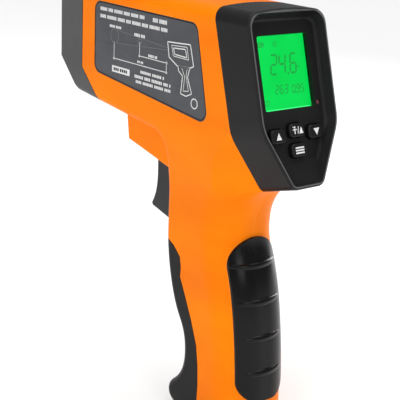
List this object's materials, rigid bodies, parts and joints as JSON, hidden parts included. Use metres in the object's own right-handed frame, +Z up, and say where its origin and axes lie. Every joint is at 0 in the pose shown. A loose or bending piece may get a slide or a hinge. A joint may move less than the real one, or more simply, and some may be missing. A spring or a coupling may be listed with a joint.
{
  "type": "infrared thermometer",
  "caption": "Pistol-shaped infrared thermometer with a sloping rear display, rubber keys, a trigger, a hinged battery door and a rubber rear grip.",
  "frame": {"origin": "mouth of the tripod socket, in the middle of the handle's base", "axes": "+X to the user's right, +Y the way the thermometer aims, +Z up"},
  "size_m": [0.044, 0.1569, 0.1952],
  "materials": {
    "orange_case": "fine moulded texture, satin",
    "black_plastic": "fine moulded texture, satin",
    "charcoal_plastic": "matte",
    "seal_rubber": "matte",
    "grip_rubber": "soft satin rubber with raised moulded ribs",
    "key_rubber": "satin silicone",
    "window": "clear, glossy",
    "lcd": "lit green display",
    "diffuser": "milky white",
    "led": "clear epoxy",
    "label_film": "printed film, satin",
    "steel": "zinc plated",
    "brass": "turned",
    "anodised": "black anodised",
    "germanium": "coated infrared lens, dark mirror tint",
    "laser_glass": "clear red",
    "circuit_board": "green solder mask",
    "components": "moulded epoxy",
    "ribbon": "polyimide film",
    "inner_plastic": "moulded",
    "battery_case": "printed metal jacket",
    "wire_red": "insulated",
    "wire_black": "insulated"
  },
  "bodies": {
    "case": {"left_shell": "orange_case", "right_shell": "orange_case", "nose_shroud": "charcoal_plastic", "nose_seal": "seal_rubber", "rear_bezel": "black_plastic", "display_window": "window", "lcd_cell": "lcd", "backlight": "diffuser", "display_board": "circuit_board", "status_led": "led", "keypad_mat": "key_rubber", "left_label": "label_film", "right_label": "label_film", "optics_plate": "black_plastic", "laser_windows": "laser_glass", "lens_tube": "anodised", "infrared_lens": "germanium", "lens_ring": "anodised", "thermopile_sensor": "steel", "sensor_board": "circuit_board", "laser_modules": "brass", "optics_bracket": "inner_plastic", "main_board": "circuit_board", "main_board_chips": "components", "board_screws": "steel", "buzzer": "components", "display_ribbon": "ribbon", "trigger_pin": "steel", "trigger_spring": "steel", "trigger_switch": "components", "switch_board": "circuit_board", "door_pin": "steel", "battery": "battery_case", "battery_tray": "inner_plastic", "battery_snap": "components", "lead_red": "wire_red", "lead_black": "wire_black", "rear_grip": "grip_rubber", "tripod_insert": "brass", "case_screws": "steel"},
    "battery_door_body": {"battery_door": "black_plastic"},
    "trigger_body": {"trigger": "charcoal_plastic"},
    "switch_plunger_body": {"switch_plunger": "inner_plastic"},
    "button_up_body": {"button_up": "key_rubber"},
    "button_light_body": {"button_light": "key_rubber"},
    "button_down_body": {"button_down": "key_rubber"},
    "button_menu_body": {"button_menu": "key_rubber"}
  },
  "joints": [
    {"name": "button_up_press", "type": "slide", "parent": "case", "child": "button_up_body", "axis": [0, 0.9613, -0.2756], "range_m": [0, 0.0008], "stiffness_N_per_m": 2500},
    {"name": "button_light_press", "type": "slide", "parent": "case", "child": "button_light_body", "axis": [0, 0.9613, -0.2756], "range_m": [0, 0.0008], "stiffness_N_per_m": 2500},
    {"name": "button_down_press", "type": "slide", "parent": "case", "child": "button_down_body", "axis": [0, 0.9613, -0.2756], "range_m": [0, 0.0008], "stiffness_N_per_m": 2500},
    {"name": "button_menu_press", "type": "slide", "parent": "case", "child": "button_menu_body", "axis": [0, 0.9613, -0.2756], "range_m": [0, 0.0008], "stiffness_N_per_m": 2500},
    {"name": "trigger_pull", "type": "hinge", "parent": "case", "child": "trigger_body", "pos_m": [0, 0.055, 0.1275], "axis": [-1, 0, 0], "range_deg": [0, 7], "stiffness_Nm_per_rad": 2, "springref_deg": -11.46},
    {"name": "plunger_press", "type": "slide", "parent": "case", "child": "switch_plunger_body", "axis": [0, -1, 0], "range_m": [0, 0.0014]},
    {"name": "battery_door_hinge", "type": "hinge", "parent": "case", "child": "battery_door_body", "pos_m": [0, 0.0155, 0.005], "axis": [-1, 0, 0], "range_deg": [0, 80]}
  ],
  "couplings": [
    {"joint": "plunger_press", "follows": "trigger_pull", "m_per_rad": 0.01146}
  ]
}
